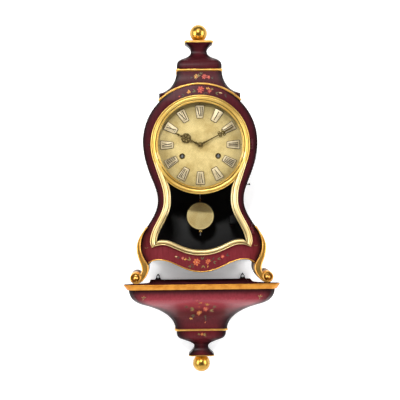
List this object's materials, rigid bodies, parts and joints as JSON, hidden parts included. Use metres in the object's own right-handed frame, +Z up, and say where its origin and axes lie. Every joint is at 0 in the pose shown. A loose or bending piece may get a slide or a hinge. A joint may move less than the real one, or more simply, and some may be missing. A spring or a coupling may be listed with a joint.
{
  "type": "bracket clock",
  "caption": "Waisted bracket clock in a lacquered case with gilt mouldings, glazed opening door, pendulum and scroll feet, standing on its matching shaped wall bracket.",
  "frame": {"origin": "on the wall plane, midway between the two hanging holes at the top of the bracket's back", "axes": "+Z up, +X to the right of a person facing the dial, +Y into the wall; the dial faces -Y"},
  "size_m": [0.2784, 0.14, 0.6454],
  "materials": {
    "lacquer": "burgundy lacquer with a gloss varnish",
    "gilt": "gilt, softly polished",
    "door_brass": "polished",
    "iron": "blackened",
    "steel": "satin",
    "bare_wood": "plain, waxed",
    "dial_brass": "antique, mottled",
    "plaque": "pale silvered brass with dark numerals",
    "hand_bronze": "dark bronze",
    "movement_brass": "machined",
    "glass": "clear"
  },
  "bodies": {
    "bracket": {"shelf_board": "lacquer", "shelf_moulding": "gilt", "bracket_body": "lacquer", "bracket_fillets": "gilt", "bracket_bowl": "lacquer", "bracket_finial": "gilt", "hanging_plates": "iron", "hanging_screws": "steel"},
    "case": {"front_panel": "lacquer", "side_left": "lacquer", "side_right": "lacquer", "back_board": "bare_wood", "case_floor": "bare_wood", "crown_skirt": "lacquer", "crown_fillets": "gilt", "crown_neck": "lacquer", "crown_finial": "gilt", "arch_moulding": "gilt", "apron_moulding": "gilt", "leg_left": "gilt", "leg_right": "gilt", "foot_boards": "bare_wood", "dial_plate": "dial_brass", "numeral_plaques": "plaque", "front_plate": "movement_brass", "back_plate": "movement_brass", "pillars": "movement_brass", "movement_posts": "steel", "clicks": "steel", "suspension_cock": "movement_brass", "gong": "iron", "hinge_lugs": "iron"},
    "door": {"door_ring": "door_brass", "door_frame": "door_brass", "dial_glass": "glass", "window_glass": "glass", "door_hinges": "iron", "door_pull": "iron"},
    "lever": {"silent_lever": "iron"},
    "minute": {"minute_hand": "hand_bronze", "centre_wheel": "movement_brass", "hand_nut": "movement_brass"},
    "hour": {"hour_hand": "hand_bronze", "hour_wheel": "movement_brass"},
    "motion": {"minute_wheel": "movement_brass"},
    "barrel": {"time_barrel": "movement_brass"},
    "winder": {"time_arbor": "steel"},
    "intermediate": {"intermediate_wheel": "movement_brass"},
    "third": {"third_wheel": "movement_brass"},
    "escape": {"escape_wheel": "movement_brass"},
    "anchor": {"pallets": "steel"},
    "pendulum": {"suspension_spring": "steel", "pendulum_rod": "steel", "bob": "movement_brass", "rating_nut": "movement_brass"},
    "strike_drum": {"strike_barrel": "movement_brass"},
    "strike_winder": {"strike_arbor": "steel"},
    "pin_wheel": {"strike_wheel": "movement_brass"},
    "fan": {"fly": "movement_brass"},
    "striker": {"hammer": "steel"}
  },
  "joints": [
    {"name": "clock_lift", "type": "slide", "parent": "bracket", "child": "case", "axis": [0, 0, 1], "range_m": [0, 0.2]},
    {"name": "door_hinge", "type": "hinge", "parent": "case", "child": "door", "pos_m": [0.093, -0.117, 0.168], "axis": [0, 0, 1], "range_deg": [0, 94]},
    {"name": "lever_slide", "type": "slide", "parent": "case", "child": "lever", "axis": [0, 1, 0], "range_m": [0, 0.006]},
    {"name": "minute_turn", "type": "hinge", "parent": "case", "child": "minute", "pos_m": [0, -0.076, 0.2445], "axis": [0, 1, 0], "continuous": true},
    {"name": "hour_turn", "type": "hinge", "parent": "case", "child": "hour", "pos_m": [0, -0.076, 0.2445], "axis": [0, 1, 0], "continuous": true},
    {"name": "motion_turn", "type": "hinge", "parent": "case", "child": "motion", "pos_m": [0, -0.076, 0.2589], "axis": [0, 1, 0], "continuous": true},
    {"name": "barrel_turn", "type": "hinge", "parent": "case", "child": "barrel", "pos_m": [0.0325, -0.076, 0.224], "axis": [0, 1, 0], "continuous": true},
    {"name": "winder_turn", "type": "hinge", "parent": "case", "child": "winder", "pos_m": [0.0325, -0.076, 0.224], "axis": [0, 1, 0], "continuous": true},
    {"name": "intermediate_turn", "type": "hinge", "parent": "case", "child": "intermediate", "pos_m": [0.01903, -0.076, 0.2474], "axis": [0, 1, 0], "continuous": true},
    {"name": "third_turn", "type": "hinge", "parent": "case", "child": "third", "pos_m": [-0.01237, -0.076, 0.25846], "axis": [0, 1, 0], "continuous": true},
    {"name": "escape_turn", "type": "hinge", "parent": "case", "child": "escape", "pos_m": [0, -0.076, 0.2692], "axis": [0, 1, 0], "continuous": true},
    {"name": "pendulum_swing", "type": "hinge", "parent": "case", "child": "pendulum", "pos_m": [0, -0.05, 0.2847], "axis": [0, 1, 0], "range_deg": [-4, 4]},
    {"name": "anchor_rock", "type": "hinge", "parent": "case", "child": "anchor", "pos_m": [0, -0.076, 0.2847], "axis": [0, 1, 0], "range_deg": [-4, 4]},
    {"name": "strike_drum_turn", "type": "hinge", "parent": "case", "child": "strike_drum", "pos_m": [-0.0325, -0.076, 0.224], "axis": [0, 1, 0], "continuous": true},
    {"name": "strike_winder_turn", "type": "hinge", "parent": "case", "child": "strike_winder", "pos_m": [-0.0325, -0.076, 0.224], "axis": [0, 1, 0], "continuous": true},
    {"name": "pin_wheel_turn", "type": "hinge", "parent": "case", "child": "pin_wheel", "pos_m": [-0.01182, -0.076, 0.20664], "axis": [0, 1, 0], "continuous": true},
    {"name": "fan_turn", "type": "hinge", "parent": "case", "child": "fan", "pos_m": [0.00253, -0.076, 0.2079], "axis": [0, 1, 0], "continuous": true},
    {"name": "hammer_lift", "type": "hinge", "parent": "case", "child": "striker", "pos_m": [0.014, -0.0555, 0.2005], "axis": [0, -1, 0], "range_deg": [0, 18]}
  ],
  "couplings": [
    {"joint": "hour_turn", "follows": "minute_turn", "ratio": 0.083333},
    {"joint": "motion_turn", "follows": "minute_turn", "ratio": -0.33333},
    {"joint": "intermediate_turn", "follows": "minute_turn", "ratio": -0.16667},
    {"joint": "barrel_turn", "follows": "minute_turn", "ratio": 0.020833},
    {"joint": "third_turn", "follows": "minute_turn", "ratio": -12},
    {"joint": "escape_turn", "follows": "minute_turn", "ratio": 144},
    {"joint": "anchor_rock", "follows": "pendulum_swing", "ratio": 1},
    {"joint": "pin_wheel_turn", "follows": "strike_drum_turn", "ratio": -8},
    {"joint": "fan_turn", "follows": "strike_drum_turn", "ratio": 72}
  ]
}
